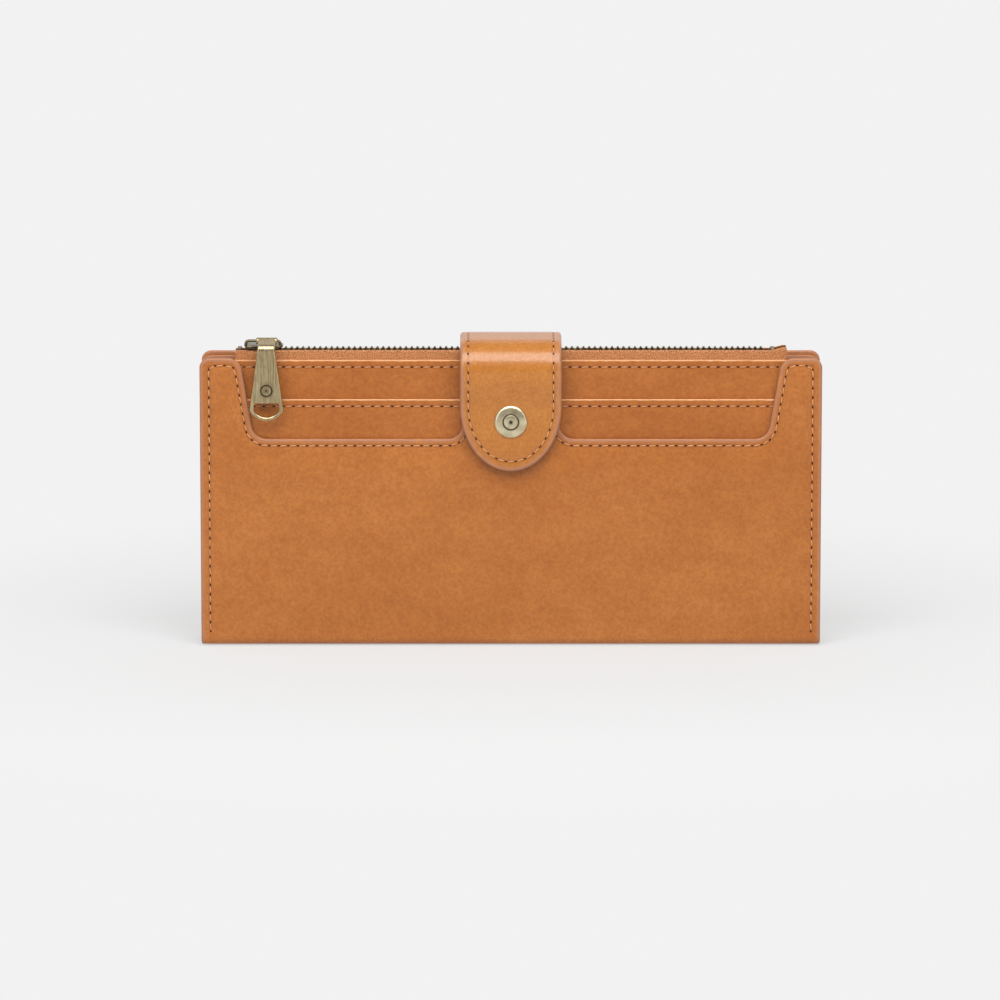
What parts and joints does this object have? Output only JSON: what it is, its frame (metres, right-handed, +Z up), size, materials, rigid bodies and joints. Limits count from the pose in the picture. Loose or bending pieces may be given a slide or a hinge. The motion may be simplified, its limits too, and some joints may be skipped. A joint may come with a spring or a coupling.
{
  "type": "long wallet",
  "caption": "Long leather bifold wallet with a zipped top pocket, windowed card slots and a snap tab over the top.",
  "frame": {"origin": "centre of the bounding box in X and Y, at the height of the surface that the closed wallet's spine stands on", "axes": "+X across the wallet, to the right when its front is seen; +Y from the front leather to the back leather; +Z up, from the spine to the zipper"},
  "size_m": [0.19, 0.024, 0.0951],
  "materials": {
    "leather_outer": "oiled and polished tan cowhide, with a soft sheen and fine mottling",
    "leather_slot": "oiled tan cowhide, thinner",
    "leather_tab": "polished tan cowhide, glossier where it bends",
    "leather_inner": "smooth tan leather, matt",
    "painted_edge": "painted and burnished cut edge",
    "lining_cloth": "fine brown twill",
    "board": "grey-brown bonded leather board",
    "zipper_tape": "brown woven tape",
    "thread": "waxed tan thread",
    "zipper_metal": "dark antique brass",
    "slider_metal": "dark antique brass, worn bright on its edges",
    "pull_metal": "brushed antique brass with bright edges",
    "snap_metal": "pale antique brass, softly polished"
  },
  "bodies": {
    "spine": {"spine_panel": "leather_outer", "spine_lining": "leather_inner"},
    "front_cover": {"front_panel": "leather_outer", "low_card_slot": "leather_slot", "tall_card_slot": "leather_slot", "zip_lining_outer": "lining_cloth", "zip_lining_inner": "lining_cloth", "zip_gusset": "lining_cloth", "zipper_tape_outer": "zipper_tape", "zipper_tape_inner": "zipper_tape", "zipper_teeth_outer": "zipper_metal", "zipper_teeth_inner": "zipper_metal", "zipper_stops": "zipper_metal", "front_stiffener": "board", "front_inner_panel": "leather_inner", "front_card_strip_top": "leather_inner", "front_card_strip_middle": "leather_inner", "front_card_strip_bottom": "leather_inner", "snap_stud": "snap_metal", "stud_rivet": "snap_metal"},
    "slider": {"slider_body": "slider_metal", "slider_bail": "slider_metal"},
    "pull": {"zipper_pull": "pull_metal"},
    "back_cover": {"back_panel": "leather_outer", "back_stiffener": "board", "bill_pocket_panel": "leather_inner", "back_card_strip_top": "leather_inner", "back_card_strip_middle": "leather_inner", "back_card_strip_bottom": "leather_inner", "tab_root_outer": "leather_tab", "tab_root_lining": "leather_tab"},
    "tab_bridge": {"tab_bridge_outer": "leather_tab", "tab_bridge_lining": "leather_tab"},
    "tab_flap": {"tab_flap_outer": "leather_tab", "tab_flap_lining": "leather_tab", "snap_socket": "snap_metal", "snap_cap": "snap_metal"}
  },
  "joints": [
    {"name": "front_cover_fold", "type": "hinge", "parent": "spine", "child": "front_cover", "pos_m": [0, -0.0074, 0], "axis": [1, 0, 0], "range_deg": [0, 88]},
    {"name": "back_cover_fold", "type": "hinge", "parent": "spine", "child": "back_cover", "pos_m": [0, 0.01, 0], "axis": [-1, 0, 0], "range_deg": [0, 88]},
    {"name": "tab_bridge_bend", "type": "hinge", "parent": "back_cover", "child": "tab_bridge", "pos_m": [0, 0.012, 0.0951], "axis": [-1, 0, 0], "range_deg": [0, 90]},
    {"name": "tab_flap_bend", "type": "hinge", "parent": "tab_bridge", "child": "tab_flap", "pos_m": [0, -0.0109, 0.0951], "axis": [-1, 0, 0], "range_deg": [0, 90], "deforming": ["tab_bridge_outer", "tab_bridge_lining", "tab_flap_outer", "tab_flap_lining", "snap_socket", "snap_cap"]},
    {"name": "slider_run", "type": "slide", "parent": "front_cover", "child": "slider", "axis": [1, 0, 0], "range_m": [0, 0.148]},
    {"name": "pull_swing", "type": "hinge", "parent": "slider", "child": "pull", "pos_m": [-0.0745, -0.00345, 0.0938], "axis": [-1, 0, 0], "range_deg": [0, 180]}
  ]
}
